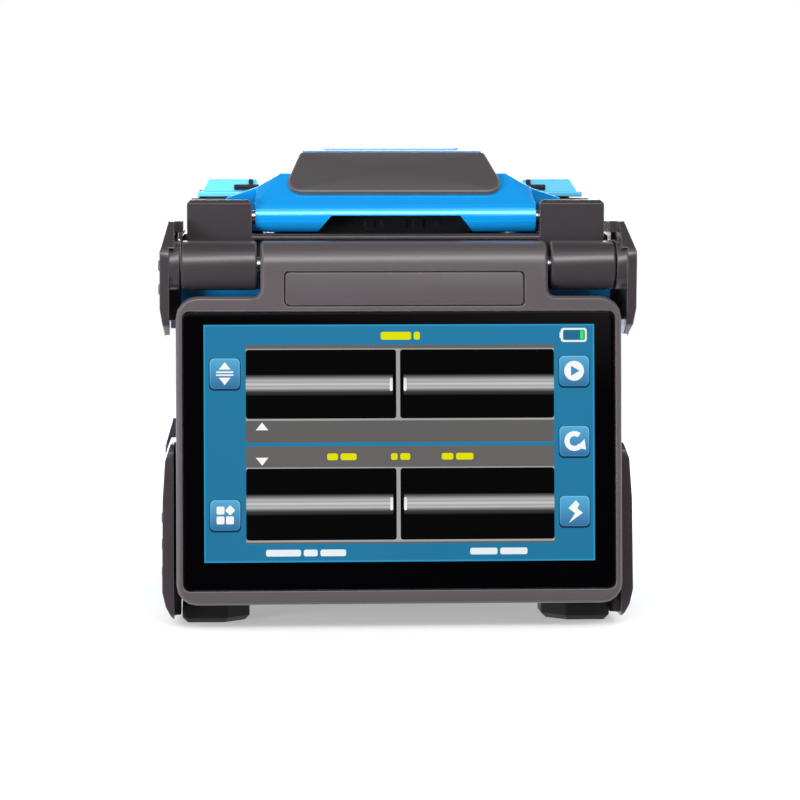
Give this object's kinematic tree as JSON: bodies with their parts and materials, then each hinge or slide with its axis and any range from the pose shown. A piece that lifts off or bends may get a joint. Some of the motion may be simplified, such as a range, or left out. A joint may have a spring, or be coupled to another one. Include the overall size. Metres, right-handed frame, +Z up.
{
  "type": "fiber fusion splicer",
  "caption": "Bench splicer for optical fiber: folding touch monitor in front, hinged wind cover, sheath clamps, sleeve heater, slide-out battery and corner guards.",
  "frame": {"origin": "on the resting surface, under the middle of the object's box", "axes": "+X to the user's right, +Y to the back, +Z up; the monitor hangs on the -Y side"},
  "size_m": [0.132, 0.1497, 0.1329],
  "materials": {
    "graphite_plastic": "fine moulded grain, satin",
    "blue_aluminium": "blue anodised, satin",
    "pale_blue": "pale blue, satin",
    "satin_gray": "satin",
    "black_plastic": "matt",
    "screen_glass": "black backed cover glass, polished",
    "rubber": "matt",
    "steel": "turned",
    "ceramic": "ground ceramic",
    "circuit_board": "solder mask",
    "white_plate": "smooth"
  },
  "bodies": {
    "base": {"body_shell": "blue_aluminium", "base_plate": "graphite_plastic", "top_deck": "graphite_plastic", "guard_front_upper_left": "graphite_plastic", "guard_front_upper_right": "graphite_plastic", "guard_front_lower_left": "graphite_plastic", "guard_front_lower_right": "graphite_plastic", "guard_rear_upper_left": "graphite_plastic", "guard_rear_upper_right": "graphite_plastic", "guard_rear_lower_left": "graphite_plastic", "guard_rear_lower_right": "graphite_plastic", "hinge_knuckle_left": "graphite_plastic", "hinge_knuckle_right": "graphite_plastic", "heater_housing": "graphite_plastic", "port_panel": "graphite_plastic", "foot_front_left": "rubber", "foot_front_right": "rubber", "foot_rear_left": "rubber", "foot_rear_right": "rubber", "monitor_pin_left": "steel", "monitor_pin_right": "steel", "cover_pin_left": "steel", "cover_pin_right": "steel", "electrode_front": "steel", "electrode_rear": "steel", "v_groove_left": "ceramic", "v_groove_right": "ceramic", "heater_plate": "ceramic", "splice_bench": "satin_gray", "status_strip": "black_plastic", "electrode_holder_front": "black_plastic", "electrode_holder_rear": "black_plastic", "microscope_front": "black_plastic", "microscope_rear": "black_plastic", "battery_bay": "black_plastic", "arc_transformer": "black_plastic", "main_board": "circuit_board"},
    "monitor": {"monitor_frame": "graphite_plastic", "monitor_rear_shell": "graphite_plastic", "touch_glass": "screen_glass", "lcd_panel": "black_plastic", "nameplate": "graphite_plastic"},
    "wind_cover": {"wind_cover_shell": "blue_aluminium", "wind_cover_grip_plate": "satin_gray", "wind_cover_top_plate": "white_plate", "wind_cover_liner": "black_plastic", "led_lamp_front": "white_plate", "led_lamp_rear": "white_plate", "fiber_clamp_left": "ceramic", "fiber_clamp_right": "ceramic"},
    "left_carriage": {"feed_carriage_left": "satin_gray"},
    "right_carriage": {"feed_carriage_right": "satin_gray"},
    "left_clamp_lid": {"sheath_clamp_lid_left": "pale_blue"},
    "right_clamp_lid": {"sheath_clamp_lid_right": "pale_blue"},
    "heater_cover": {"heater_lid": "pale_blue"},
    "left_heater_clamp": {"heater_clamp_left": "graphite_plastic"},
    "right_heater_clamp": {"heater_clamp_right": "graphite_plastic"},
    "battery": {"battery_pack": "graphite_plastic"},
    "battery_release": {"battery_tab": "black_plastic"},
    "power_button": {"power_key": "black_plastic"}
  },
  "joints": [
    {"name": "monitor_hinge", "type": "hinge", "parent": "base", "child": "monitor", "pos_m": [0, -0.0616, 0.0996], "axis": [-1, 0, 0], "range_deg": [0, 140]},
    {"name": "wind_cover_hinge", "type": "hinge", "parent": "base", "child": "wind_cover", "pos_m": [0, -0.0485, 0.1128], "axis": [1, 0, 0], "range_deg": [0, 90]},
    {"name": "left_feed_slide", "type": "slide", "parent": "base", "child": "left_carriage", "axis": [1, 0, 0], "range_m": [0, 0.004]},
    {"name": "right_feed_slide", "type": "slide", "parent": "base", "child": "right_carriage", "axis": [-1, 0, 0], "range_m": [0, 0.004]},
    {"name": "left_clamp_lid_hinge", "type": "hinge", "parent": "left_carriage", "child": "left_clamp_lid", "pos_m": [-0.046, 0.0076, 0.1186], "axis": [-1, 0, 0], "range_deg": [0, 100]},
    {"name": "right_clamp_lid_hinge", "type": "hinge", "parent": "right_carriage", "child": "right_clamp_lid", "pos_m": [0.046, 0.0076, 0.1186], "axis": [-1, 0, 0], "range_deg": [0, 100]},
    {"name": "heater_lid_hinge", "type": "hinge", "parent": "base", "child": "heater_cover", "pos_m": [0, 0.0466, 0.1125], "axis": [-1, 0, 0], "range_deg": [0, 95]},
    {"name": "left_heater_clamp_hinge", "type": "hinge", "parent": "base", "child": "left_heater_clamp", "pos_m": [-0.041, 0.0466, 0.1125], "axis": [-1, 0, 0], "range_deg": [0, 95]},
    {"name": "right_heater_clamp_hinge", "type": "hinge", "parent": "base", "child": "right_heater_clamp", "pos_m": [0.041, 0.0466, 0.1125], "axis": [-1, 0, 0], "range_deg": [0, 95]},
    {"name": "battery_slide", "type": "slide", "parent": "base", "child": "battery", "axis": [0, 1, 0], "range_m": [0, 0.06]},
    {"name": "battery_release_slide", "type": "slide", "parent": "battery", "child": "battery_release", "axis": [0, 0, 1], "range_m": [0, 0.003], "stiffness_N_per_m": 400},
    {"name": "power_key_press", "type": "slide", "parent": "base", "child": "power_button", "axis": [-1, 0, 0], "range_m": [0, 0.001], "stiffness_N_per_m": 1500}
  ],
  "couplings": [
    {"joint": "left_heater_clamp_hinge", "follows": "heater_lid_hinge", "ratio": 1},
    {"joint": "right_heater_clamp_hinge", "follows": "heater_lid_hinge", "ratio": 1}
  ]
}
